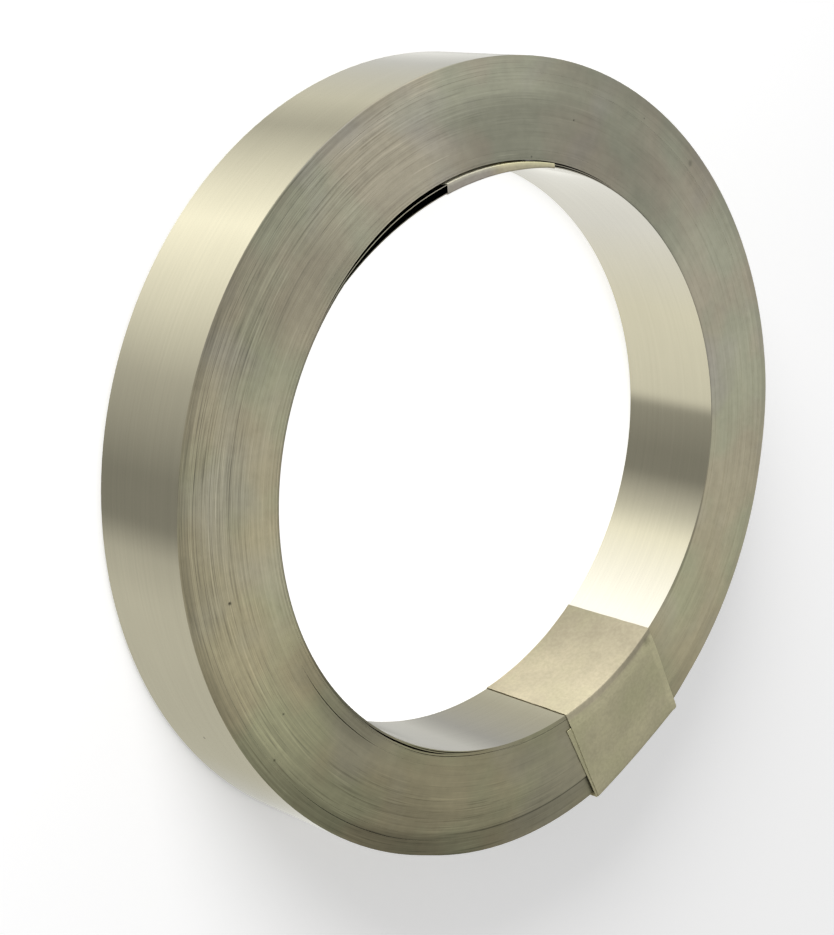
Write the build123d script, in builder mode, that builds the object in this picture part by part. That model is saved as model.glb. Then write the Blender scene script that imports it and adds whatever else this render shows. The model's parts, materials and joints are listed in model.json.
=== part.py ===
"""A coil of nickel-plated steel strip, lying on its back end and held by two pieces of masking tape.

Lengths are in millimetres and angles in degrees. The coil's axis is upright and the floor is at Z = 0. Angles
round the coil are seen from its front end, which faces up: 0 is at the right, along +X, and 90 along +Y.
"""

from build123d import *
import os
from math import cos, radians, sin

os.makedirs("parts", exist_ok=True)

# The strip and its winding
strip_width = 20.0
strip_gauge = 0.15
bore_diameter = 100.0
wound_turns = 118
telescope = 2.2  # how far the turns slide back along the axis, from the bore out to the rim

# Each end shows the turns as bands that stand a little proud of, or behind, their neighbours
turns_per_band = 10
band_wander = (0.0, 0.2, -0.1, 0.12, -0.2, 0.06)  # repeats outwards from the bore
rim_turns = 18  # the last turns, which have slipped back
rim_setback = 0.6

# The innermost turns have sprung away from the pack along the top of the bore
sprung_turns = 3
sprung_gap = 1.1
sprung_middle = 99.0
sprung_half_angle = 46.0

# A crack between turns runs along the lower left of the bore
crack_turns = 9
crack_gap = 0.4
crack_middle = 234.0
crack_half_angle = 27.0

# The slipped turns have come a little loose along the bottom and the right
loose_gap = 0.35
loose_middle = 300.0
loose_half_angle = 58.0

# Masking tape
tape_width = 24.0
tape_thickness = 0.1
band_angle = 300.0
wrap_lean = 2.5  # how far the under wrap turns from the one over it
wrap_slip = 1.4  # and how far it lies to one side of it
bore_tape_angle = 94.0

bore_radius = bore_diameter / 2
coil_radius = bore_radius + wound_turns * strip_gauge


def on_circle(radius, angle):
    """The point of the coil's plane at this radius and angle."""
    return radius * cos(radians(angle)), radius * sin(radians(angle))


def slide(radius):
    """How far forward a turn of this radius lies, because the coil is telescoped."""
    return telescope * (0.5 - (radius - bore_radius) / (coil_radius - bore_radius))


def band(inner_turn, outer_turn, wander):
    """The inner radius, outer radius and forward shift of a band of turns."""
    inner_radius = bore_radius + inner_turn * strip_gauge
    outer_radius = bore_radius + outer_turn * strip_gauge
    return inner_radius, outer_radius, slide((inner_radius + outer_radius) / 2) + wander


def turn_bands():
    """Every band of turns, outwards from the bore, with the set-back ones last."""
    first_rim_turn = wound_turns - rim_turns
    bands = []
    for inner_turn in range(0, first_rim_turn, turns_per_band):
        outer_turn = min(inner_turn + turns_per_band, first_rim_turn)
        bands.append(band(inner_turn, outer_turn, band_wander[len(bands) % len(band_wander)]))
    bands.append(band(first_rim_turn, wound_turns, -rim_setback))
    return bands


def section_corners(bands):
    """The corners of a wound section as (radius, forward), out along the front and in along the back."""
    front = []
    back = []
    for inner_radius, outer_radius, shift in bands:
        front += [(inner_radius, shift + strip_width / 2), (outer_radius, shift + strip_width / 2)]
        back += [(inner_radius, shift - strip_width / 2), (outer_radius, shift - strip_width / 2)]
    return front + back[::-1]


def crescent(inner_turns, gap, middle, half_angle):
    """The shape of a gap on the outside of the turn at this count, widest at its middle."""
    inner_radius = bore_radius + inner_turns * strip_gauge
    start = on_circle(inner_radius, middle - half_angle)
    end = on_circle(inner_radius, middle + half_angle)
    with BuildSketch(coil_plane) as opening:
        with BuildLine():
            ThreePointArc(start, on_circle(inner_radius + gap, middle), end)
            ThreePointArc(end, on_circle(inner_radius, middle), start)
        make_face()
    return opening.sketch


def taut_outline(corners, lift):
    """What tape pulled tight round a section lies on, this far off it: the section's convex hull."""
    with BuildSketch(section_plane) as outline:
        with BuildLine():
            Polyline(*corners, close=True)
        make_hull()
        if lift:
            offset(amount=lift, kind=Kind.INTERSECTION)
    return outline.sketch


def wrap(corners, lift, angle, slip=0.0, lean=0.0):
    """One wrap of tape round a section, with straight parallel edges across the coil's ends."""
    outside = taut_outline(corners, lift + tape_thickness)
    inside = taut_outline(corners, lift)
    with BuildPart() as loop:
        revolve(outside, axis=coil_axis)
        revolve(inside, axis=coil_axis, mode=Mode.SUBTRACT)
        with BuildSketch(coil_plane):
            with PolarLocations(coil_radius, 1, start_angle=angle):
                with Locations(Location((0, slip, 0), (0, 0, lean))):
                    Rectangle(coil_radius, tape_width)
        extrude(amount=past_ends, both=True, mode=Mode.INTERSECT)
    return loop.part


# The coil's own plane has X to the right, Y up and Z out of the front end, from the middle of the coil.
# It lies as high as its lowest turns and the two wraps of tape under them set it.
bands = turn_bands()
lowest = min(shift for inner_radius, outer_radius, shift in bands) - strip_width / 2 - 2 * tape_thickness
coil_plane = Plane(origin=(0, 0, -lowest), x_dir=(1, 0, 0), z_dir=(0, 0, 1))
coil_axis = Axis(coil_plane.origin, coil_plane.z_dir)
section_plane = Plane(origin=coil_plane.origin, x_dir=coil_plane.x_dir, z_dir=-coil_plane.y_dir)
past_ends = -2 * lowest

# The strip, as one turned solid whose ends show its turns
sprung_opening = crescent(sprung_turns, sprung_gap, sprung_middle, sprung_half_angle)
crack_opening = crescent(crack_turns, crack_gap, crack_middle, crack_half_angle)
loose_opening = crescent(wound_turns - rim_turns, loose_gap, loose_middle, loose_half_angle)
with BuildPart() as strip_coil:
    with BuildSketch(section_plane):
        with BuildLine():
            Polyline(*section_corners(bands), close=True)
        make_face()
    revolve(axis=coil_axis)
    for opening in (sprung_opening, crack_opening, loose_opening):
        extrude(opening, amount=past_ends, both=True, mode=Mode.SUBTRACT)

# The band round the whole section, as two wraps that don't quite lie over each other
under_wrap = wrap(section_corners(bands), 0, band_angle, slip=-wrap_slip, lean=wrap_lean)
upper_wrap = wrap(section_corners(bands), tape_thickness, band_angle)
with BuildPart() as masking_tape:
    add(under_wrap)
    add(upper_wrap)

# The piece folded round the sprung turns at the top of the bore
sprung_band = (bore_radius, bore_radius + sprung_turns * strip_gauge, bands[0][2])
bore_wrap = wrap(section_corners([sprung_band]), 0, bore_tape_angle)
with BuildPart() as bore_tape:
    add(bore_wrap)

for name, piece in {
    "strip_coil": strip_coil,
    "masking_tape": masking_tape,
    "bore_tape": bore_tape,
}.items():
    piece.part.label = name
    export_step(piece.part, f"parts/{name}.step")
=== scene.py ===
"""A coil of nickel-plated strip, lying on its back end and held by masking tape, in a plain studio.

The coil's front end faces up. X points right and Y points up as the coil's front end is seen from
the camera, and angles round the coil run from X towards Y. Lengths are in metres.
"""

import json
import math
import random

import bpy
import numpy as np
from bpy.props import FloatProperty, FloatVectorProperty, IntProperty, PointerProperty
from bpy.types import Operator, Panel, PropertyGroup
from mathutils import Matrix, Vector


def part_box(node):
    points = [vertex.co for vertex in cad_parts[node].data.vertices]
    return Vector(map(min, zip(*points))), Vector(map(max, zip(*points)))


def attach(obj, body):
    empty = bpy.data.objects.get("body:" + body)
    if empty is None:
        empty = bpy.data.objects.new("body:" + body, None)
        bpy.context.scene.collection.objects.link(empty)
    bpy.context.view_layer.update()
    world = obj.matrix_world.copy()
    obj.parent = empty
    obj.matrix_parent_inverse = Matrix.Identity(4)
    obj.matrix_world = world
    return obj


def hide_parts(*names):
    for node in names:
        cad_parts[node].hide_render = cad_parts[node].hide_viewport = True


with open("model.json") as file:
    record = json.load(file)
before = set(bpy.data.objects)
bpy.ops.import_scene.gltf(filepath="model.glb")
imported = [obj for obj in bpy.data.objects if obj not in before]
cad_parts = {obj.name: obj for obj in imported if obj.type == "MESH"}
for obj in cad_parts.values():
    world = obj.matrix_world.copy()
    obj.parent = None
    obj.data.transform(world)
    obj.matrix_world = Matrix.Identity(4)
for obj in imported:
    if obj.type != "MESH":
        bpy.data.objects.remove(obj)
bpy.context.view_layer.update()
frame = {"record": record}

bl_info = {
    "name": "Coil of plated strip",
    "version": (1, 0, 0),
    "blender": (4, 5, 0),
    "location": "3D View > Sidebar > Coil",
    "description": "Builds a taped coil of nickel-plated strip and a studio to look at it in",
    "category": "Add Mesh",
}

MM = 0.001

# What the frame says about the coil
bore_mount = frame["record"]["mounts"][0]
bore_radius = bore_mount["dims"]["r_mm"] * MM
strip_width = bore_mount["dims"]["length_mm"] * MM
bore_height = bore_mount["pos_m"][2]
coil_low, coil_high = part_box("strip_coil")
coil_radius = coil_high.x
rim_height = coil_low.z + strip_width / 2
middle_radius = (bore_radius + coil_radius) / 2
SOLID_SETBACK = 0.6 * MM  # of the slipped turns in the solid
TELESCOPE = bore_height - rim_height - SOLID_SETBACK  # how far back the rim lies from the bore


class WoundStripSettings(PropertyGroup):
    """Sizes and finish of the wound strip."""

    turns: IntProperty(name="Turns", description="Turns of strip in the coil", default=118, min=40)
    segments: IntProperty(name="Segments", description="Facets round each turn", default=176, min=48)
    rim_turns: IntProperty(
        name="Slipped turns", description="Outermost turns that have slipped back", default=26, min=0,
    )
    setback: FloatProperty(
        name="Setback", description="How far the slipped turns lie behind the rest",
        default=0.4 * MM, unit="LENGTH",
    )
    wander: FloatProperty(
        name="Wander", description="How unevenly single turns stand at the ends",
        default=0.016 * MM, unit="LENGTH",
    )
    plate_colour: FloatVectorProperty(
        name="Plate", description="Colour of the nickel plate on the strip's flat sides",
        default=(0.63, 0.61, 0.56), size=3, subtype="COLOR",
    )
    edge_colour: FloatVectorProperty(
        name="Slit edges", description="Colour of the strip's cut edges, seen on the coil's ends",
        default=(0.415, 0.397, 0.292), size=3, subtype="COLOR",
    )
    seed: IntProperty(name="Seed", description="Seed of the unevenness of the turns", default=7)


class TapeSettings(PropertyGroup):
    """Sizes and finish of the masking tape."""

    width: FloatProperty(name="Width", description="Width of the tape", default=24 * MM, unit="LENGTH")
    thickness: FloatProperty(
        name="Thickness", description="Thickness of one layer", default=0.1 * MM, unit="LENGTH",
    )
    angle: FloatProperty(
        name="Place", description="Where the tape holds the coil, round its axis",
        default=math.radians(300), subtype="ANGLE",
    )
    slip: FloatProperty(
        name="Slip", description="How far the under wrap lies to one side of the upper one",
        default=-0.77 * MM, unit="LENGTH",
    )
    lean: FloatProperty(
        name="Lean", description="How far the under wrap turns from the upper one",
        default=math.radians(3), subtype="ANGLE",
    )
    bore_angle: FloatProperty(
        name="Bore piece", description="Where the small piece is folded round the innermost turns",
        default=math.radians(94), subtype="ANGLE",
    )
    colour: FloatVectorProperty(
        name="Paper", description="Colour of the tape's creped paper",
        default=(0.50, 0.463, 0.30), size=3, subtype="COLOR",
    )


class StudioSettings(PropertyGroup):
    """The camera and the light."""

    turn: FloatProperty(
        name="Turn", description="How far the camera stands to the side of the coil's axis",
        default=math.radians(-41.69), subtype="ANGLE",
    )
    rise: FloatProperty(
        name="Rise", description="How far the camera stands towards the coil's upper side",
        default=math.radians(12.75), subtype="ANGLE",
    )
    distance: FloatProperty(
        name="Distance", description="Distance of the camera from the coil's middle",
        default=378.4 * MM, unit="LENGTH",
    )
    aim_right: FloatProperty(
        name="Aim right", description="How far the coil's middle lies right of the view's middle",
        default=7.92 * MM, unit="LENGTH",
    )
    aim_down: FloatProperty(
        name="Aim down", description="How far the camera stands below the coil's middle",
        default=2.28 * MM, unit="LENGTH",
    )
    lens: FloatProperty(name="Lens", description="Focal length", default=84.9, unit="CAMERA")
    ambient: FloatProperty(name="Ambient", description="Level of the light from all round", default=0.42)
    key_power: FloatProperty(name="Key", description="Power of the key light", default=7.5, unit="POWER")
    key_size: FloatProperty(name="Key size", description="Width of the key light", default=0.5, unit="LENGTH")


# Gaps between turns: after which turn, how wide, their middle and half their length in degrees
SPRUNG_GAPS = (
    (1, 0.35 * MM, 104, 42),
    (2, 0.40 * MM, 104, 42),
)
BORE_GAPS = (
    (1, 0.16 * MM, 252, 12),
    (2, 0.30 * MM, 241, 14),
    (4, 0.10 * MM, 254, 20),
    (5, 0.07 * MM, 283, 18),
)
CRACKS = ((15, 0.12 * MM, 222, 13),)
RIM_GAPS = (
    (92, 0.16 * MM, 281, 26),
    (100, 0.08 * MM, 240, 16),
)
GAPS = SPRUNG_GAPS + BORE_GAPS + CRACKS + RIM_GAPS
SQUEEZED_TURNS = 24  # turns that a gap presses together outside it
SEAM = 0.012 * MM  # what stays between neighbouring groups of turns where they lie tight

# How unevenly the turns stand, as shares of the wander: each by itself, drifting from turn to turn, and along
# the turn
TURN_SHARE, DRIFT_SHARE, WAVE_SHARE = 0.6, 0.55, 0.9
DRIFT_KEPT = 0.86  # the share of the drift that each turn takes over from the one before

# Where the winding isn't round: how far, its middle and half its length in degrees, and over how many turns
LEAF_SAG = (1.05 * MM, 109, 28)  # the innermost turn, inwards
SECOND_LEAF_SHARE = 0.25  # the turn outside it sags by this share of it
BORE_SAG = (1.25 * MM, 282, 85, 40)  # the turns next to the bore, inwards
RIM_BULGE = (0.85 * MM, 285, 30, 26)  # the turns next to the rim, outwards

# Where the slipped turns lie behind the rest, in degrees
SLIPPED_MIDDLE, SLIPPED_HALF = 305, 62

# The tape's mesh, and how it lies
TAPE_ROW, TAPE_COLUMN = 0.6 * MM, 0.5 * MM  # size of its facets along and across it
FRAY, FRAY_LENGTH = 0.04 * MM, 1.6 * MM  # of its cut edges
SWELL_LENGTH, RIPPLE_LENGTH = 5 * MM, 1.7 * MM  # of its unevenness
FLAT_FROM = 4 * MM  # inside the rim, from where it stays flat across the curve
UNDER_WRAP_END = 2.2 * MM  # outside the bore
STRIP_GAP, WRAP_GAP = 0.05 * MM, 0.04 * MM  # under the upper wrap, on the strip and on the under wrap
CLIMB = 0.7 * MM  # the width over which the upper wrap climbs onto the under one
RAISED_EDGE, RAISED_WIDTH = 0.22 * MM, 1.2 * MM  # the upper wrap's free edge
RAISED_FROM = 3 * MM  # outside the bore, where it is raised in full
NOISE_CELLS = 64  # after which the unevenness repeats
COVER_MARGIN = 2  # degrees beside the tape that the section under it takes in
PAPER = "creped_paper_tape"

# Dark specks on the front end, on the outside and in a crease of the tape: distance from the axis in mm,
# angle in degrees, size in mm, how dark
END_SPECKS = (
    (60.2, 192.2, 0.42, 0.8),
    (58.8, 213.7, 0.30, 0.6),
    (64.4, 218.5, 0.32, 0.6),
    (58.4, 76.2, 0.22, 0.7),
    (51.4, 86.2, 0.25, 0.8),
    (64.6, 60.4, 0.22, 0.6),
    (65.1, 47.3, 0.8, 0.3),
)
SIDE_SPECKS = ((67.7, 214.0, 0.35, 0.7),)
SIDE_SPECK_HEIGHT = 10.5 * MM
CREASE_SPECKS = ((50.6, 312.0, 1.3, 0.3),)

# Painted light and shade along single turns that stand proud, the last one a painted shadow along the step
# down
# to the slipped turns: radius in mm, middle and half their length in degrees, half their width in mm, and how
# much lighter or darker they are
PAINTED_TURN_LINES = (
    (58.75, 169, 9, 0.16, -0.34),
    (60.2, 158, 8, 0.14, -0.28),
    (60.45, 177, 8, 0.13, -0.22),
    (62.1, 175, 12, 0.13, -0.18),
    (64.9, 171, 14, 0.30, -0.12),
    (65.0, 205, 12, 0.16, -0.16),
    (61.6, 196, 10, 0.12, -0.16),
    (66.1, 160, 11, 0.22, 0.16),
    (64.0, 160, 12, 0.28, 0.15),
    (59.9, 152, 9, 0.12, 0.20),
    (62.9, 128, 14, 0.22, 0.10),
    (63.9, 196, 9, 0.14, 0.18),
    (59.9, 203, 8, 0.14, 0.14),
    (54.55, 110, 5.5, 0.10, 0.34),
    (51.95, 92, 3.5, 0.10, 0.28),
    (60.5, 100, 12, 0.12, -0.14),
    (64.25, 280, 25, 0.20, -0.62),
)

# Painted shade and painted highlights on sides of the coil's ends: darker towards the bottom and in other
# places,
# lighter in some, with a painted highlight along the rim's edge and painted shade along the bore's edge. Each
# row:
# the radius in mm from which they start (0 is the whole width), over how many mm they come in, outwards or
# inwards, their middle in degrees, how far from it they are full and how far they reach, and how much light
# they leave
END_PAINTED_LIGHT = (
    (0, 1, 262, 28, 60, 0.66),
    (63.7, 0.3, 278, 20, 60, 0.82),
    (63.0, -3.5, 74, 14, 42, 0.70),
    (59.5, 3.5, 59, 10, 30, 0.76),
    (66.0, 0.35, 165, 38, 62, 0.80),
    (64.0, 0.8, 232, 20, 38, 0.76),
    (58.5, 2.0, 262, 12, 26, 0.86),
    (66.0, 0.35, 15, 40, 60, 0.88),
    (0, 1, 143, 8, 22, 0.88),
    (0, 1, 118, 8, 20, 1.12),
    (57.0, -2.0, 172, 16, 36, 1.13),
    (62.5, 1.5, 180, 6, 18, 0.90),
    (67.5, 0.08, 122, 10, 26, 1.5),
    (54.5, -2.0, 221, 6, 18, 0.78),
    (55.0, 2.0, 240, 6, 20, 0.88),
    (50.30, -0.16, 170, 45, 70, 0.55),
    (50.30, -0.16, 15, 40, 62, 0.65),
)

# Lines drawn round the coil: how many per mm, how fast they change along, and their detail
FINE_LINES, BROAD_LINES, WISPS = (3.2, 3.2, 2.0), (0.75, 2.0, 2.0), (4.2, 5.5, 1.0)
HAIRLINES = (2.2, 1.6, 4.0)

# Tints of the slit edges, of the ends towards the coil's lower and upper side, and of stained paper
BEIGE, GREEN, GREY = (1.035, 0.985, 0.97), (0.975, 1.01, 0.98), (1.0, 0.99, 1.10)
LOWER_TINT, UPPER_TINT = (1.01, 1.0, 0.90), (0.99, 1.0, 1.10)
OLIVE = (0.96, 1.01, 0.93)
WHITE = (1.0, 1.0, 1.0)

# Light in the room by the angle round the coil's axis, as seen past its outside and through its bore: where a
# band lies, its level in coarse steps and its tint
WARM, COOL = (1.0, 0.97, 0.78), (1.0, 1.0, 0.95)
ROOM_OUTSIDE = (
    (-180, 0.4, WARM),
    (-170, 0.3, WARM),
    (-155, 0.3, WARM),
    (-145, 0.6, WARM),
    (-130, 0.7, WARM),
    (-70, 0.6, WARM),
    (-35, 0.6, COOL),
    (-27, 0.2, WARM),
    (-12, 0.2, WARM),
    (-3, 0.7, COOL),
    (10, 0.9, COOL),
    (25, 0.7, COOL),
    (55, 0.8, WARM),
    (70, 0.6, WARM),
    (110, 1.5, WARM),
    (140, 1.0, WARM),
    (160, 0.6, WARM),
)
ROOM_THROUGH = (
    (-180, 0.3, WARM),
    (-162, 0.4, WARM),
    (-157, 0.9, WARM),
    (-120, 1.0, WARM),
    (-75, 1.0, COOL),
    (-35, 1.0, COOL),
    (-20, 1.3, COOL),
    (-12, 0.6, COOL),
    (10, 0.7, COOL),
    (25, 0.5, COOL),
    (50, 0.6, WARM),
    (80, 1.0, WARM),
    (110, 1.8, COOL),
    (145, 1.3, WARM),
    (155, 0.8, WARM),
    (170, 0.3, WARM),
)

# The light from all round comes more from the coil's upper left, and the key light from there too
LIGHT_SIDE = Vector((-0.5, 0.87, 0))
KEY_TOWARDS = Vector((-0.5, 0.8, 0.34))
KEY_DISTANCE = 0.8
DIM_SIDE, BRIGHT_SIDE = 0.3, 1.7  # of the light from all round

# How steeply reflections look down past the coil's outside and through its bore, and up to the ceiling
LOW_LOOK, HIGH_LOOK = -0.74, -0.70
CEILING_FROM, CEILING_FULL, CEILING = -0.45, 0.1, (0.9, 0.9, 0.88)
BRIGHTEST_BAND = 2.0  # what white in the ramps stands for

FLOOR_REACH = 3.0
FLOOR_PAINT = (0.9, 0.9, 0.9)
# The floor glows more inside the bore: a painted pool of light that lightens the coil's shadow there
FLOOR_GLOW, FLOOR_GLOW_IN_BORE = 0.3, 0.75  # what makes the floor white to the camera


def smooth_step(value):
    """0 below 0, 1 above 1 and a smooth rise between, for arrays too."""
    value = np.clip(value, 0.0, 1.0)
    return value * value * (3 - 2 * value)


def crescent(angles, middle, half):
    """A crescent's width along it: 0 at its tips and 1 in its middle. Angles are in degrees."""
    away = (angles - middle + 180) % 360 - 180
    return np.clip(1 - (away / half) ** 2, 0.0, None)


def wave(count, rng):
    """A smooth random closed wave of about unit height, one value for each of count angles."""
    angles = np.linspace(0, 2 * math.pi, count, endpoint=False)
    terms = (1, 2, 3)
    total = np.zeros(count)
    for term in terms:
        total += rng.uniform(0.4, 1.0) * np.cos(term * angles + rng.uniform(0, 2 * math.pi))
    return total / len(terms)


def end_height(radius):
    """Height of the front end's surface at this distance from the axis, as if its turns were even."""
    share = (radius - bore_radius) / (coil_radius - bore_radius)
    return bore_height + strip_width / 2 - TELESCOPE * share


class Winding:
    """Where each turn of the strip lies, by its count from the bore and the angle round the coil."""

    def __init__(self, settings):
        self.turns = settings.turns
        self.gauge = (coil_radius - bore_radius) / settings.turns
        self.first_rim_turn = settings.turns - settings.rim_turns
        self.setback = settings.setback
        rng = random.Random(settings.seed)
        self.angles = np.linspace(0, 360, settings.segments, endpoint=False)
        slipped = smooth_step(2 * crescent(self.angles, SLIPPED_MIDDLE, SLIPPED_HALF))
        self.heights = []
        drift = 0.0
        for turn in range(self.turns):
            share = (turn + 0.5) / self.turns
            drift = DRIFT_KEPT * drift + rng.gauss(0, 1)
            uneven = settings.wander * (rng.gauss(0, TURN_SHARE) + DRIFT_SHARE * drift)
            slow = settings.wander * WAVE_SHARE * wave(settings.segments, rng)
            back = settings.setback * slipped if turn >= self.first_rim_turn else 0.0
            self.heights.append(bore_height - TELESCOPE * share - back + uneven + slow)

    def pushed(self, boundary, inner, angles):
        """How far out of round the boundary after this many turns lies, in the ring with this innermost turn.

        Each gap pushes the turns outside it outwards, and the push fades over the turns that it squeezes.
        """
        total = np.zeros(np.broadcast(boundary, angles).shape)
        for after, gap, middle, half in GAPS:
            squeezed = min(SQUEEZED_TURNS, self.turns - after)
            fade = np.clip(1 - (boundary - after) / squeezed, 0, 1) * (inner >= after)
            total += gap * fade * crescent(angles, middle, half)
        depth, middle, half, faded = BORE_SAG
        total -= depth * np.clip(1 - boundary / faded, 0, 1) * crescent(angles, middle, half) ** 2
        depth, middle, half, faded = RIM_BULGE
        total += depth * np.clip(1 - (self.turns - boundary) / faded, 0, 1) * crescent(angles, middle, half)
        depth, middle, half = LEAF_SAG
        leaf = np.where(inner < 1, 1.0, np.where(inner < 2, SECOND_LEAF_SHARE, 0.0))
        return total - depth * leaf * crescent(angles, middle, half)

    def radius(self, boundary, inner):
        """Radius of the boundary after this many turns, all round, in the ring with this innermost turn."""
        return bore_radius + boundary * self.gauge + self.pushed(boundary, inner, self.angles)

    def rings(self):
        """The groups of turns that the gaps part, as (inner turn, outer turn)."""
        parts = sorted({0, self.turns} | {gap[0] for gap in GAPS})
        return list(zip(parts, parts[1:]))


def ring_geometry(winding, inner, outer):
    """Vertices and faces of one group of turns, each turn's edge a step of its own at both ends."""
    front, back = [], []
    for turn in range(inner, outer):
        near = winding.radius(turn, inner)
        far = winding.radius(turn + 1, inner)
        if turn == inner and inner > 0:
            near = near + SEAM
        for rows, height in (
            (front, winding.heights[turn] + strip_width / 2),
            (back, winding.heights[turn] - strip_width / 2),
        ):
            rows += [(near, height), (far, height)]
    radians = np.radians(winding.angles)
    points = np.array([
        np.stack([radius * np.cos(radians), radius * np.sin(radians), height], -1)
        for radius, height in front + back[::-1]
    ])
    row_count, segment_count = points.shape[:2]
    index = np.arange(row_count * segment_count).reshape(row_count, segment_count)
    below = np.roll(index, -1, axis=0)
    quads = np.stack([index, np.roll(index, -1, axis=1), np.roll(below, -1, axis=1), below], -1)
    is_edge = np.repeat(np.arange(row_count) % 2 == 0, segment_count)
    return points.reshape(-1, 3), quads.reshape(-1, 4)[:, ::-1], is_edge


def new_object(name, data):
    """An object with this data, placed in the scene."""
    made = bpy.data.objects.new(name, data)
    bpy.context.scene.collection.objects.link(made)
    return made


def new_mesh_object(name, points, faces, materials, slots=None):
    """A mesh object at the origin, with smooth faces and sharp corners."""
    mesh = bpy.data.meshes.new(name)
    mesh.from_pydata(points.tolist(), [], faces.tolist())
    for material in materials:
        mesh.materials.append(material)
    if slots is not None:
        mesh.polygons.foreach_set("material_index", slots.astype(np.int32))
    mesh.shade_smooth()
    mesh.set_sharp_from_angle(angle=math.radians(35))
    mesh.validate()
    mesh.update()
    return new_object(name, mesh)


def taut_outline(points):
    """The convex hull of (radius, height) points, anticlockwise."""
    points = sorted(set(points))

    def half(ordered):
        chain = []
        for point in ordered:
            while len(chain) > 1 and (
                (chain[-1][0] - chain[-2][0]) * (point[1] - chain[-2][1])
                - (chain[-1][1] - chain[-2][1]) * (point[0] - chain[-2][0])
            ) <= 1e-12:
                chain.pop()
            chain.append(point)
        return chain[:-1]

    return half(points) + half(points[::-1])


def outline_stations(corners, step):
    """Points round a convex outline with the way out at each, close together and fanned at its corners."""
    corner_steps = 5
    corners = [Vector(corner) for corner in corners]
    count = len(corners)
    stations = []
    for number, corner in enumerate(corners):
        before = (corner - corners[number - 1]).normalized()
        run = corners[(number + 1) % count] - corner
        after = run.normalized()
        first = math.atan2(-before.x, before.y)
        turn = (math.atan2(-after.x, after.y) - first) % (2 * math.pi)
        for part in range(corner_steps + 1):
            angle = first + turn * part / corner_steps
            stations.append((corner.x, corner.y, math.cos(angle), math.sin(angle)))
        pieces = max(1, round(run.length / step))
        for part in range(1, pieces):
            place = corner + run * part / pieces
            angle = first + turn
            stations.append((place.x, place.y, math.cos(angle), math.sin(angle)))
    return np.array(stations)


def value_noise(first, second, seed, cell):
    """Smooth noise of about unit height over two lengths, with cells of this size."""
    table = np.random.default_rng(seed).uniform(-1, 1, (NOISE_CELLS, NOISE_CELLS))
    a, b = np.asarray(first) / cell, np.asarray(second) / cell
    a0, b0 = np.floor(a).astype(int), np.floor(b).astype(int)
    u, v = smooth_step(a - a0), smooth_step(b - b0)

    def corner(i, j):
        return table[(a0 + i) % NOISE_CELLS, (b0 + j) % NOISE_CELLS]

    near = corner(0, 0) * (1 - u) + corner(1, 0) * u
    far = corner(0, 1) * (1 - u) + corner(1, 1) * u
    return near * (1 - v) + far * v


def wrap_geometry(tape, corners, angle, lift, follow, lowest, seed, rough=0.05 * MM, slip=0.0, lean=0.0,
                  short=None, straight=0.0):
    """One wrap of tape round a convex section: vertices and faces, closed, with a little unevenness.

    lift gives how far the wrap's underside stands off the section, for a radius and places across it,
    and follow how far out of round the section is, for a radius and angles in degrees.
    No part of it comes below the lowest height. With short, the wrap leaves out the bore and starts and
    ends this far outside it. With straight, it follows the rim's curve only in part and stays flatter.
    """
    stations = outline_stations(corners, TAPE_ROW)
    if short is not None:
        stations = stations[stations[:, 0] > bore_radius + short]
    along = np.concatenate([[0], np.cumsum(np.hypot(*np.diff(stations[:, :2], axis=0).T))])
    across = np.linspace(-tape.width / 2, tape.width / 2, round(tape.width / TAPE_COLUMN) + 1)
    edge_fray = FRAY * value_noise(along, 0 * along + 3.3, seed, FRAY_LENGTH)
    grid_along, grid_across = np.meshgrid(along, across, indexing="ij")
    share = grid_across / (tape.width / 2)
    fray = edge_fray[:, None] * np.abs(share) ** 6 * np.sign(share)
    radius, height, out_radius, out_height = (stations[:, [column]] for column in range(4))
    side = grid_across + slip + (radius - middle_radius) * math.tan(lean) + fray
    uneven = rough * (0.6 + 0.5 * value_noise(grid_along, grid_across, seed + 1, SWELL_LENGTH)
                      + 0.35 * value_noise(grid_along, grid_across, seed + 2, RIPPLE_LENGTH))
    base = lift(radius, side) + uneven
    out_of_round = follow(radius, math.degrees(angle) + np.degrees(np.arcsin(side / radius)))
    flat = straight * smooth_step((radius - coil_radius) / FLAT_FROM + 1)
    layers = []
    for number, depth in enumerate((base, base + tape.thickness)):
        at_radius = radius + out_of_round + out_radius * depth
        at_height = np.maximum(height + out_height * depth, lowest - number * tape.thickness)
        forward = np.sqrt(np.maximum(at_radius ** 2 - side ** 2, 0))
        forward += flat * (at_radius - forward)
        layers.append(np.stack([
            forward * math.cos(angle) - side * math.sin(angle),
            forward * math.sin(angle) + side * math.cos(angle),
            at_height + 0 * side,
        ], -1))
    rows, columns = layers[0].shape[:2]
    under = np.arange(rows * columns).reshape(rows, columns)
    over = under + rows * columns
    here, there = np.arange(rows), np.roll(np.arange(rows), -1)
    if short is not None:
        here, there = here[:-1], there[:-1]

    def skin(index):
        corner_rows = index[here, :-1], index[here, 1:], index[there, 1:], index[there, :-1]
        return np.stack(corner_rows, -1).reshape(-1, 4)

    def side_edge(column):
        low, high = under[:, column], over[:, column]
        return np.stack([low[here], low[there], high[there], high[here]], -1)

    def end_edge(row):
        low, high = under[row], over[row]
        return np.stack([low[:-1], low[1:], high[1:], high[:-1]], -1)

    faces = [skin(under)[:, ::-1], skin(over), side_edge(0)[:, ::-1], side_edge(columns - 1)]
    if short is not None:
        faces += [end_edge(0), end_edge(rows - 1)[:, ::-1]]
    return np.concatenate([layer.reshape(-1, 3) for layer in layers]), np.concatenate(faces)


def joined(parts):
    """Several (points, faces) as one."""
    points, faces, start = [], [], 0
    for part_points, part_faces in parts:
        points.append(part_points)
        faces.append(part_faces + start)
        start += len(part_points)
    return np.concatenate(points), np.concatenate(faces)


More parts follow.
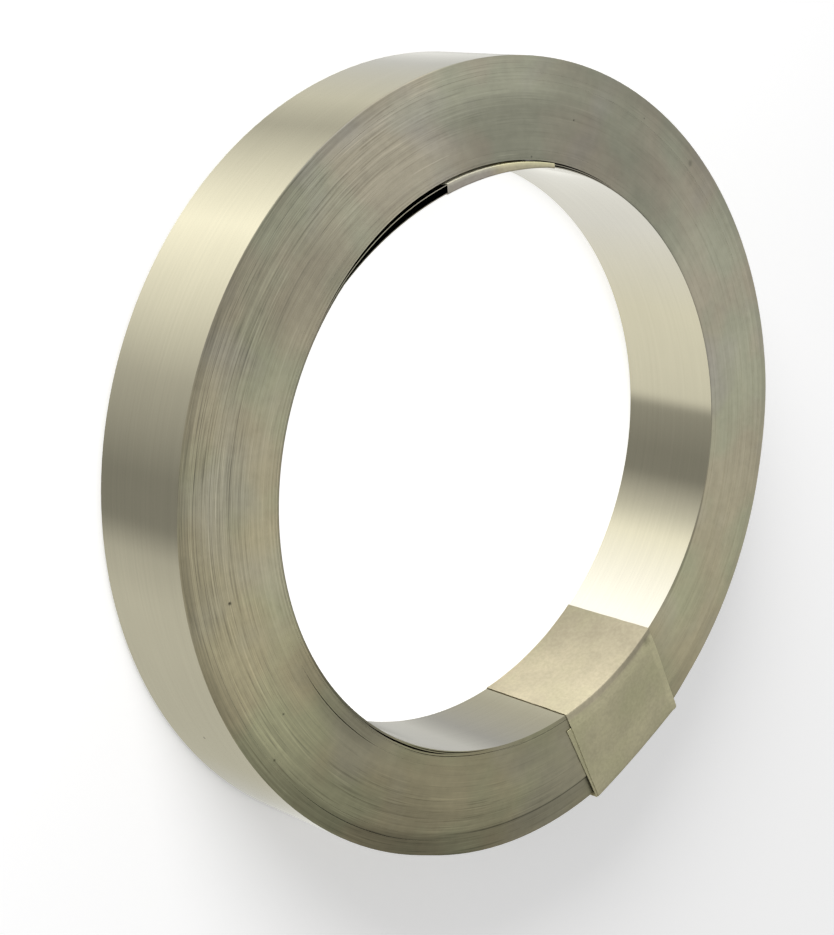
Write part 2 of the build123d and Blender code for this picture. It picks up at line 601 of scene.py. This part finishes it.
class Nodes:
    """Short calls that add and join nodes in one tree."""

    def __init__(self, tree):
        self.tree = tree

    def plug(self, socket, value):
        """Link an input to the socket given as its value, or set it to a plain value."""
        if isinstance(value, bpy.types.NodeSocket):
            self.tree.links.new(value, socket)
        else:
            socket.default_value = value

    def add(self, kind, inputs=None, **settings):
        """A node of this kind, with its inputs by name or number."""
        node = self.tree.nodes.new(kind)
        for name, value in settings.items():
            setattr(node, name, value)
        for name, value in (inputs or {}).items():
            self.plug(node.inputs[name], value)
        return node

    def group(self, name, inputs=None):
        """The outputs of a shared node group, which is built when it is first placed."""
        tree = bpy.data.node_groups.get(name) or SHARED_GROUPS[name]()
        return self.add("ShaderNodeGroup", inputs, node_tree=tree).outputs

    def math(self, operation, *values):
        """Values or sockets put through one operation."""
        return self.add("ShaderNodeMath", dict(enumerate(values)), operation=operation).outputs[0]

    def fit(self, value, low, high, to_low=0.0, to_high=1.0, way="LINEAR"):
        """A value taken from one range to another and kept inside it."""
        node = self.add("ShaderNodeMapRange", {
            "Value": value, "From Min": low, "From Max": high, "To Min": to_low, "To Max": to_high,
        }, interpolation_type=way)
        return node.outputs["Result"]

    def mix(self, share, first, second, blend="MIX"):
        """Two colours mixed, the second one by its share."""
        node = self.add("ShaderNodeMix", {0: share, 6: first, 7: second}, data_type="RGBA", blend_type=blend)
        return node.outputs[2]

    def noise(self, where, scale, detail=2.0, rough=0.5):
        """Smooth noise around 0.5."""
        node = self.add("ShaderNodeTexNoise", {
            "Vector": where, "Scale": scale, "Detail": detail, "Roughness": rough,
        })
        return node.outputs[0]

    def spot(self):
        """The point itself, in the coil's frame."""
        return self.add("ShaderNodeTexCoord").outputs["Object"]


def colour(rgb, factor=1.0, tint=WHITE):
    """An RGBA colour, lighter or darker by a factor and tinted."""
    return tuple(channel * part * factor for channel, part in zip(rgb, tint)) + (1.0,)


def new_group(name, inputs, outputs):
    """A shader node group: its nodes, what comes in and what goes out. Inputs are given by their defaults."""
    tree = bpy.data.node_groups.new(name, "ShaderNodeTree")
    for socket, default in inputs.items():
        kind = "NodeSocketFloat" if isinstance(default, float) else "NodeSocketVector"
        tree.interface.new_socket(socket, in_out="INPUT", socket_type=kind).default_value = default
    for socket in outputs:
        tree.interface.new_socket(socket, in_out="OUTPUT", socket_type="NodeSocketFloat")
    nodes = Nodes(tree)
    return nodes, nodes.add("NodeGroupInput").outputs, nodes.add("NodeGroupOutput").inputs


def coil_place_group():
    """Where a point lies on the coil: its distance from the axis, its height, and its way out as X and Y."""
    nodes, _, end = new_group("coil_place", {}, ["Radius mm", "Height mm", "Out X", "Out Y"])
    x, y, z = nodes.add("ShaderNodeSeparateXYZ", {0: nodes.spot()}).outputs
    radius = nodes.math("SQRT", nodes.math("ADD", nodes.math("MULTIPLY", x, x), nodes.math("MULTIPLY", y, y)))
    nodes.plug(end["Radius mm"], nodes.math("MULTIPLY", radius, 1 / MM))
    nodes.plug(end["Height mm"], nodes.math("MULTIPLY", z, 1 / MM))
    nodes.plug(end["Out X"], nodes.math("DIVIDE", x, radius))
    nodes.plug(end["Out Y"], nodes.math("DIVIDE", y, radius))
    return nodes.tree


def drawn_lines_group():
    """Fine lines that run round the coil: noise that is quick across them and slow along them."""
    nodes, start, end = new_group(
        "drawn_lines", {"Across mm": 0.0, "Lines per mm": 6.0, "Change along": 2.0, "Detail": 3.0}, ["Line"],
    )
    place = nodes.group("coil_place")
    where = nodes.add("ShaderNodeCombineXYZ", {
        0: nodes.math("MULTIPLY", start["Across mm"], start["Lines per mm"]),
        1: nodes.math("MULTIPLY", place["Out X"], start["Change along"]),
        2: nodes.math("MULTIPLY", place["Out Y"], start["Change along"]),
    }).outputs[0]
    nodes.plug(end["Line"], nodes.noise(where, 1.0, start["Detail"], 0.6))
    return nodes.tree


def speck_group():
    """A small ragged spot round a point: 1 in its middle times its darkness, and 0 away from it."""
    nodes, start, end = new_group(
        "speck", {"Middle": (0.0, 0.0, 0.0), "Size": 0.5 * MM, "Darkness": 0.5}, ["Mask"],
    )
    spot = nodes.spot()
    away = nodes.add("ShaderNodeVectorMath", {0: spot, 1: start["Middle"]}, operation="DISTANCE")
    share = nodes.math("DIVIDE", away.outputs["Value"], start["Size"])
    ragged = nodes.math("MULTIPLY_ADD", nodes.noise(spot, 2500.0), 0.9, share)
    nodes.plug(end["Mask"], nodes.math("MULTIPLY", nodes.fit(ragged, 0.7, 1.4, 1.0, 0.0), start["Darkness"]))
    return nodes.tree


SHARED_GROUPS = {"coil_place": coil_place_group, "drawn_lines": drawn_lines_group, "speck": speck_group}


def cleared_nodes(owner):
    """The emptied nodes of a material or of the world."""
    owner.use_nodes = True
    owner.node_tree.nodes.clear()
    return Nodes(owner.node_tree)


def new_material(name):
    """A material whose only nodes are a Principled shader and the output that it is joined to."""
    material = bpy.data.materials.new(name)
    nodes = cleared_nodes(material)
    shader = nodes.add("ShaderNodeBsdfPrincipled")
    nodes.add("ShaderNodeOutputMaterial", {"Surface": shader.outputs[0]})
    return material, nodes, shader


def dress(nodes, shader, base, rough, relief, strength, depth):
    """Join a colour, a roughness and a fine relief of this strength and depth to the shader."""
    bump = nodes.add("ShaderNodeBump", {"Strength": strength, "Distance": depth, "Height": relief})
    for name, value in (("Base Color", base), ("Roughness", rough), ("Normal", bump.outputs["Normal"])):
        nodes.plug(shader.inputs[name], value)


def drawn_lines(nodes, across, look):
    """Lines round the coil, side by side over this length, with one of the looks named above."""
    per_mm, along, detail = look
    return nodes.group("drawn_lines", {
        "Across mm": across, "Lines per mm": per_mm, "Change along": along, "Detail": detail,
    })[0]


def specks_left(nodes, specks, height=None):
    """How much light these specks leave: 1 away from them. Without a height they lie on the front end."""
    left = 1.0
    for radius, degrees, size, darkness in specks:
        out, angle = radius * MM, math.radians(degrees)
        middle = (out * math.cos(angle), out * math.sin(angle), end_height(out) if height is None else height)
        mask = nodes.group("speck", {"Middle": middle, "Size": size * MM, "Darkness": darkness})[0]
        left = nodes.math("MULTIPLY", nodes.math("SUBTRACT", 1.0, mask), left)
    return left


def side_share(nodes, place, middle, near, far):
    """1 on the side of the coil at this angle, within near degrees of it, and 0 beyond far degrees."""
    angle = math.radians(middle)
    towards = nodes.math("ADD", nodes.math("MULTIPLY", place["Out X"], math.cos(angle)),
                         nodes.math("MULTIPLY", place["Out Y"], math.sin(angle)))
    return nodes.fit(towards, math.cos(math.radians(far)), math.cos(math.radians(near)), way="SMOOTHSTEP")


def painted_turn_shading(nodes, place, spot):
    """How much lighter or darker the painted light and shade along single turns make the coil's ends."""
    wobble = nodes.math("MULTIPLY_ADD", nodes.noise(spot, 70.0), 0.5, -0.25)
    radius = nodes.math("ADD", place["Radius mm"], wobble)
    total = 0.0
    for at_radius, middle, half, width, change in PAINTED_TURN_LINES:
        away = nodes.math("ABSOLUTE", nodes.math("SUBTRACT", radius, at_radius))
        line = nodes.fit(away, 0.0, width, change, 0.0)
        total = nodes.math("MULTIPLY_ADD", line, side_share(nodes, place, middle, 0.3 * half, half), total)
    return total


def end_tone(nodes, place, spot, fine):
    """How much fine and broad lines, wisps, patches, mottling and painted turn shading lighten or darken the
    ends.
    """
    radius = place["Radius mm"]
    broad, wisp = (drawn_lines(nodes, radius, look) for look in (BROAD_LINES, WISPS))
    side = nodes.fit(side_share(nodes, place, 190, 55, 120), 0, 1, 0.28, 1.0)
    lined = nodes.math("MULTIPLY", nodes.fit(radius, 54.0, 59.0, 0.35, 1.0), side)
    dark, light = nodes.fit(wisp, 0.60, 0.70, 0.0, 0.26), nodes.fit(wisp, 0.40, 0.28, 0.0, 0.22)
    wisps = nodes.math("SUBTRACT", light, dark)
    streaks = nodes.math("MULTIPLY_ADD", nodes.math("SUBTRACT", fine, 0.5), 0.75, wisps)
    tone = nodes.math("MULTIPLY", streaks, lined)
    patch, mottle = nodes.noise(spot, 80.0, 3.0, 0.55), nodes.noise(spot, 650.0, 3.0, 0.6)
    for noise, depth in ((broad, 0.24), (patch, 0.34), (mottle, 0.22)):
        tone = nodes.math("ADD", tone, nodes.math("MULTIPLY", nodes.math("SUBTRACT", noise, 0.5), depth))
    return nodes.math("ADD", tone, painted_turn_shading(nodes, place, spot))


def end_light(nodes, place):
    """How much light the painted shade and highlights by side, and the specks, leave on the coil's ends."""
    light = specks_left(nodes, END_SPECKS)
    # Painted shade and highlights, by radius and side
    for radius, over, middle, near, far, left in END_PAINTED_LIGHT:
        beyond = nodes.fit(place["Radius mm"], radius, radius + over)
        share = nodes.math("MULTIPLY", beyond, side_share(nodes, place, middle, near, far))
        light = nodes.math("MULTIPLY", light, nodes.fit(share, 0, 1, 1.0, left))
    return light


def end_tint(nodes, place, spot, edge_colour):
    """The colour of the slit edges, beige, green and grey in patches and warmer up the coil than down it."""
    patches = nodes.fit(nodes.noise(spot, 62.0, 2.0), 0.42, 0.58)
    tint = nodes.mix(patches, colour(edge_colour, 1.0, BEIGE), colour(edge_colour, 1.0, GREEN))
    patches = nodes.fit(nodes.noise(spot, 45.0, 2.0), 0.52, 0.66, 0.0, 0.8)
    tint = nodes.mix(patches, tint, colour(edge_colour, 1.0, GREY))
    upper = nodes.mix(side_share(nodes, place, 75, 0, 180), colour(LOWER_TINT), colour(UPPER_TINT))
    return nodes.mix(1.0, tint, upper, "MULTIPLY")


def rolled_plate_material(settings):
    """Satin nickel plate on the strip's flat sides: near mirror, with hairlines along the strip."""
    material, nodes, shader = new_material("rolled_nickel_plate")
    hairline = drawn_lines(nodes, nodes.group("coil_place")["Height mm"], HAIRLINES)
    cloud = nodes.noise(nodes.spot(), 60.0, 3.0)
    tone = nodes.math("ADD", nodes.math("MULTIPLY", hairline, 0.55), nodes.math("MULTIPLY", cloud, 0.45))
    tone = nodes.fit(tone, 0.32, 0.68)
    plate = nodes.mix(tone, colour(settings.plate_colour, 0.955), colour(settings.plate_colour, 1.04))
    base = nodes.mix(1.0, plate, specks_left(nodes, SIDE_SPECKS, SIDE_SPECK_HEIGHT), "MULTIPLY")
    dress(nodes, shader, base, nodes.fit(tone, 0, 1, 0.09, 0.12), hairline, 0.03, 0.02 * MM)
    shader.inputs["Metallic"].default_value = 1.0
    return material


def slit_edge_material(settings):
    """The coil's ends: the strip's cut edges side by side, patchy, finely lined, with painted shade and
    highlights.
    """
    material, nodes, shader = new_material("slit_strip_edges")
    place, spot = nodes.group("coil_place"), nodes.spot()
    fine = drawn_lines(nodes, place["Radius mm"], FINE_LINES)
    tone = nodes.math("ADD", end_tone(nodes, place, spot, fine), 1.0)
    light = nodes.math("MULTIPLY", end_light(nodes, place), tone)
    base = nodes.mix(1.0, end_tint(nodes, place, spot, settings.edge_colour), light, "MULTIPLY")
    dress(nodes, shader, base, nodes.fit(fine, 0.3, 0.7, 0.44, 0.58), fine, 0.3, 0.03 * MM)
    shader.inputs["Metallic"].default_value = 1.0
    return material


def paper_tape_material(settings):
    """Creped masking tape: matt paper with fine wrinkles, mottled where the glue shows through, and painted
    light and shade.
    """
    material, nodes, shader = new_material(PAPER)
    place, spot = nodes.group("coil_place"), nodes.spot()
    radius = place["Radius mm"]
    mottle, stain = nodes.noise(spot, 190.0, 3.0, 0.55), nodes.noise(spot, 95.0, 2.0)
    crepe = nodes.noise(spot, 1500.0, 3.0, 0.6)
    dull, pale = colour(settings.colour, 0.90), colour(settings.colour, 1.06)
    paper = nodes.mix(nodes.fit(mottle, 0.35, 0.65), dull, pale)
    paper = nodes.mix(nodes.fit(stain, 0.44, 0.62, 0.0, 0.55), paper, colour(settings.colour, 0.88, OLIVE))

    aside = nodes.math("MULTIPLY", radius, nodes.math(
        "SUBTRACT", nodes.math("MULTIPLY", place["Out Y"], math.cos(settings.angle)),
        nodes.math("MULTIPLY", place["Out X"], math.sin(settings.angle)),
    ))
    facing_bore = nodes.fit(radius, 50.5, 49.9)
    front = nodes.fit(radius, 51.0, 53.0)
    bore_fold = nodes.math("MULTIPLY", nodes.fit(radius, 49.95, 50.2), nodes.fit(radius, 51.5, 50.9))
    right_edge = nodes.math("MULTIPLY", nodes.fit(aside, 10.4, 11.0), nodes.fit(radius, 51.0, 52.5))
    far_corner = nodes.math("MULTIPLY", facing_bore, nodes.fit(aside, -5.0, 8.0))
    fold_left, fold_right = side_share(nodes, place, 104, 5, 10), side_share(nodes, place, 87, 5, 9)

    light = nodes.fit(crepe, 0.36, 0.64, 0.94, 1.06)
    light = nodes.math("MULTIPLY", specks_left(nodes, CREASE_SPECKS), light)
    # Painted light and shade: lighter where the tape faces the bore, on its front, on its raised right edge
    # and on the bore fold, darker at its far corner in the bore, and a darker and a lighter side of the small
    # piece's fold
    for share, factor in (
        (facing_bore, 1.08), (far_corner, 0.70), (right_edge, 1.12), (fold_left, 0.84), (fold_right, 1.18),
        (front, 1.06), (bore_fold, 1.10),
    ):
        light = nodes.math("MULTIPLY", light, nodes.fit(share, 0, 1, 1.0, factor))
    # Painted cool tints with that shade and light, on the darker side of the fold and where the tape faces
    # the bore
    for share, tint in ((fold_left, (1.0, 1.03, 1.25)), (facing_bore, (1.0, 0.965, 1.05))):
        paper = nodes.mix(1.0, paper, nodes.mix(share, colour(WHITE), colour(tint)), "MULTIPLY")
    base = nodes.mix(1.0, paper, light, "MULTIPLY")
    dress(nodes, shader, base, nodes.fit(mottle, 0.3, 0.7, 0.62, 0.8), crepe, 0.5, 0.05 * MM)
    shader.inputs["Specular IOR Level"].default_value = 0.3
    return material


def paper_of(tape):
    """The tape's material, built for its first piece and shared by the rest."""
    return bpy.data.materials.get(PAPER) or paper_tape_material(tape)


def close_to_strip(gap):
    """The lift of tape that lies on the strip itself, with this gap everywhere."""
    return lambda radius, side: gap + 0 * side


def section_points(winding, turns, angle, reach):
    """Corners of the winding's section, over the width that a piece of tape covers.

    The tape bridges the step down to the slipped turns at the front.
    """
    spread = math.degrees(math.asin(reach / bore_radius)) + COVER_MARGIN
    covered = np.abs((winding.angles - math.degrees(angle) + 180) % 360 - 180) < spread
    points = []
    for turn in range(turns):
        heights = winding.heights[turn][covered]
        bridged = winding.setback if turn >= winding.first_rim_turn else 0.0
        for boundary in (turn, turn + 1):
            radius = bore_radius + boundary * winding.gauge
            points.append((float(radius), float(heights.min() - strip_width / 2)))
            points.append((float(radius), float(heights.max() + strip_width / 2 + bridged)))
    return points


class COIL_OT_wound_strip(Operator):
    """Build the wound strip, each turn's edge showing on the coil's ends"""

    bl_idname = "coil.wound_strip"
    bl_label = "Wound strip"

    def execute(self, context):
        settings = context.scene.wound_strip
        winding = Winding(settings)
        parts, slots = [], []
        for inner, outer in winding.rings():
            points, faces, is_edge = ring_geometry(winding, inner, outer)
            parts.append((points, faces))
            slots.append(is_edge)
        points, faces = joined(parts)
        materials = [rolled_plate_material(settings), slit_edge_material(settings)]
        coil = new_mesh_object("wound_strip", points, faces, materials, np.concatenate(slots))
        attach(coil, "root")
        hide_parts("strip_coil")
        return {"FINISHED"}


class COIL_OT_masking_tape(Operator):
    """Wrap the masking tape round the whole section, twice"""

    bl_idname = "coil.masking_tape"
    bl_label = "Masking tape"

    def execute(self, context):
        tape = context.scene.masking_tape
        winding = Winding(context.scene.wound_strip)
        corners = taut_outline(section_points(winding, winding.turns, tape.angle, tape.width / 2))
        half = tape.width / 2

        def on_under_wrap(radius, side):
            shift = tape.slip + (radius - middle_radius) * math.tan(tape.lean)
            out = radius - bore_radius
            across = smooth_step((half - np.abs(side - shift)) / CLIMB + 0.5)
            along = smooth_step((out - UNDER_WRAP_END) / CLIMB + 0.5)
            edge = smooth_step((side - half) / RAISED_WIDTH + 1) * smooth_step(out / RAISED_FROM)
            return STRIP_GAP + (tape.thickness + WRAP_GAP) * across * along + RAISED_EDGE * edge

        def follow(radius, angles):
            turn = (radius - bore_radius) / winding.gauge
            return winding.pushed(turn, np.maximum(turn, 1), angles)

        points, faces = joined([
            wrap_geometry(
                tape, corners, tape.angle, close_to_strip(0.01 * MM), follow, 2 * tape.thickness, seed=11,
                rough=0.03 * MM, slip=tape.slip, lean=tape.lean, short=UNDER_WRAP_END, straight=0.85,
            ),
            wrap_geometry(
                tape, corners, tape.angle, on_under_wrap, follow, tape.thickness, seed=21, straight=0.75,
            ),
        ])
        piece = new_mesh_object("masking_tape_wraps", points, faces, [paper_of(tape)])
        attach(piece, "root")
        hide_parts("masking_tape")
        return {"FINISHED"}


class COIL_OT_bore_tape(Operator):
    """Fold the small piece of tape round the innermost turns"""

    bl_idname = "coil.bore_tape"
    bl_label = "Bore tape"

    def execute(self, context):
        tape = context.scene.masking_tape
        winding = Winding(context.scene.wound_strip)
        corners = taut_outline(section_points(winding, 2, tape.bore_angle, tape.width / 2))

        def follow(radius, angles):
            turn = (radius - bore_radius) / winding.gauge
            return winding.pushed(turn, np.where(turn < 1, 0, 1), angles)

        points, faces = wrap_geometry(
            tape, corners, tape.bore_angle, close_to_strip(0.02 * MM), follow, 2 * tape.thickness, seed=31,
            rough=0.04 * MM,
        )
        piece = new_mesh_object("bore_tape_fold", points, faces, [paper_of(tape)])
        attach(piece, "root")
        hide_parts("bore_tape")
        return {"FINISHED"}


def camera_axes(studio):
    """The camera's right, up and back, from where it stands round the coil."""
    back = Vector((
        math.sin(studio.turn) * math.cos(studio.rise),
        math.sin(studio.rise),
        math.cos(studio.turn) * math.cos(studio.rise),
    ))
    right = Vector((math.cos(studio.turn), 0, -math.sin(studio.turn)))
    return right, back.cross(right), back


def add_camera(studio):
    """The camera, on the photo's side of the coil."""
    right, up, back = camera_axes(studio)
    data = bpy.data.cameras.new("camera")
    data.lens = studio.lens
    data.clip_start, data.clip_end = 0.01, 20
    camera = new_object("camera", data)
    rotation = Matrix((right, up, back)).transposed().to_4x4()
    middle = Vector((0, 0, rim_height))
    place = middle + studio.distance * back - studio.aim_right * right - studio.aim_down * up
    camera.matrix_world = Matrix.Translation(place) @ rotation
    bpy.context.scene.camera = camera


def add_floor():
    """A wide white floor. The metal reflects the room instead of it, and it keeps the coil's shadow, which a
    painted pool of light inside the bore lightens.
    """
    mesh = bpy.data.meshes.new("floor")
    corners = [(x * FLOOR_REACH, y * FLOOR_REACH, 0) for x, y in ((-1, -1), (1, -1), (1, 1), (-1, 1))]
    mesh.from_pydata(corners, [], [(0, 1, 2, 3)])
    floor = new_object("floor", mesh)
    material = bpy.data.materials.new("studio_floor")
    nodes = cleared_nodes(material)
    ray = nodes.add("ShaderNodeLightPath").outputs
    paint = nodes.add("ShaderNodeBsdfDiffuse", {"Color": colour(FLOOR_PAINT)})
    away = nodes.add("ShaderNodeVectorMath", {0: nodes.spot()}, operation="LENGTH").outputs["Value"]
    # More glow inside the bore: a painted pool of light on the floor
    strength = nodes.math("MULTIPLY", ray["Is Camera Ray"],
                          nodes.fit(away, bore_radius, coil_radius, FLOOR_GLOW_IN_BORE, FLOOR_GLOW))
    glow = nodes.add("ShaderNodeEmission", {"Color": colour(WHITE), "Strength": strength})
    both = nodes.add("ShaderNodeAddShader", {0: paint.outputs[0], 1: glow.outputs[0]})
    nodes.add("ShaderNodeOutputMaterial", {"Surface": both.outputs[0]})
    mesh.materials.append(material)
    floor.visible_glossy = False


def room_ramp(nodes, position, bands):
    """The room's light bands as a colour ramp over the angle round the coil's axis, from -180 degrees on."""
    ramp = nodes.add("ShaderNodeValToRGB", {"Fac": position})
    stops = bands + ((180, *bands[0][1:]),)
    elements = ramp.color_ramp.elements
    while len(elements) < len(stops):
        elements.new(0.5)
    for element, (angle, level, tint) in zip(elements, stops):
        element.position = (angle + 180) / 360
        element.color = colour(tint, level / BRIGHTEST_BAND)
    return ramp.outputs["Color"]


def add_world(studio):
    """Plain light from all round, and for the metal a room with soft bands of light."""
    world = bpy.data.worlds.new("studio")
    bpy.context.scene.world = world
    nodes = cleared_nodes(world)
    way = nodes.add("ShaderNodeTexCoord").outputs["Generated"]
    x, y, z = nodes.add("ShaderNodeSeparateXYZ", {0: way}).outputs
    position = nodes.fit(nodes.math("ARCTAN2", y, x), -math.pi, math.pi)
    outside, through = (room_ramp(nodes, position, bands) for bands in (ROOM_OUTSIDE, ROOM_THROUGH))
    below = nodes.mix(nodes.fit(z, LOW_LOOK, HIGH_LOOK), outside, through)
    room = nodes.mix(nodes.fit(z, CEILING_FROM, CEILING_FULL), below, colour(CEILING, 1 / BRIGHTEST_BAND))
    ray = nodes.add("ShaderNodeLightPath").outputs
    sideways = nodes.add("ShaderNodeVectorMath", {0: way, 1: LIGHT_SIDE}, operation="DOT_PRODUCT")
    dim, bright = DIM_SIDE * studio.ambient, BRIGHT_SIDE * studio.ambient
    level = nodes.fit(sideways.outputs["Value"], -1, 1, dim, bright)
    plain, banded, white = (
        nodes.add("ShaderNodeBackground", {"Color": light, "Strength": strength}).outputs[0]
        for light, strength in ((colour(WHITE), level), (room, BRIGHTEST_BAND), (colour(WHITE), 1.0))
    )
    lit = nodes.add("ShaderNodeMixShader", {0: ray["Is Glossy Ray"], 1: plain, 2: banded}).outputs[0]
    seen = nodes.add("ShaderNodeMixShader", {0: ray["Is Camera Ray"], 1: lit, 2: white}).outputs[0]
    nodes.add("ShaderNodeOutputWorld", {"Surface": seen})


def add_key(studio):
    """One large soft lamp, up and to the left of the coil."""
    data = bpy.data.lights.new("key", "AREA")
    data.shape = "DISK"
    data.size = studio.key_size
    data.energy = studio.key_power
    lamp = new_object("key", data)
    towards = KEY_TOWARDS.normalized()
    lamp.location = towards * KEY_DISTANCE
    lamp.rotation_mode = "QUATERNION"
    lamp.rotation_quaternion = towards.to_track_quat("Z", "Y")
    lamp.visible_glossy = False


class COIL_OT_studio(Operator):
    """Lay the floor and set up the camera and the light"""

    bl_idname = "coil.studio"
    bl_label = "Studio"

    def execute(self, context):
        studio = context.scene.studio
        context.scene.view_settings.view_transform = "Standard"
        add_floor()
        add_world(studio)
        add_key(studio)
        add_camera(studio)
        return {"FINISHED"}


class COIL_PT_panel(Panel):
    """Lists the coil's pieces and the studio"""

    bl_idname = "COIL_PT_panel"
    bl_label = "Coil of plated strip"
    bl_space_type = "VIEW_3D"
    bl_region_type = "UI"
    bl_category = "Coil"

    def draw(self, context):
        for settings, operators in (
            (context.scene.wound_strip, (COIL_OT_wound_strip,)),
            (context.scene.masking_tape, (COIL_OT_masking_tape, COIL_OT_bore_tape)),
            (context.scene.studio, (COIL_OT_studio,)),
        ):
            box = self.layout.box()
            for name in settings.__annotations__:
                box.prop(settings, name)
            for operator in operators:
                box.operator(operator.bl_idname)


CLASSES = (
    WoundStripSettings, TapeSettings, StudioSettings,
    COIL_OT_wound_strip, COIL_OT_masking_tape, COIL_OT_bore_tape, COIL_OT_studio, COIL_PT_panel,
)


def register():
    """Make the coil's settings, operators and panel known."""
    for item in CLASSES:
        bpy.utils.register_class(item)
    bpy.types.Scene.wound_strip = PointerProperty(type=WoundStripSettings)
    bpy.types.Scene.masking_tape = PointerProperty(type=TapeSettings)
    bpy.types.Scene.studio = PointerProperty(type=StudioSettings)


def unregister():
    """Take them out again."""
    del bpy.types.Scene.studio
    del bpy.types.Scene.masking_tape
    del bpy.types.Scene.wound_strip
    for item in reversed(CLASSES):
        bpy.utils.unregister_class(item)


def main():
    """Build everything."""
    register()
    bpy.ops.coil.wound_strip()
    bpy.ops.coil.masking_tape()
    bpy.ops.coil.bore_tape()
    bpy.ops.coil.studio()


if __name__ == "__main__":
    main()
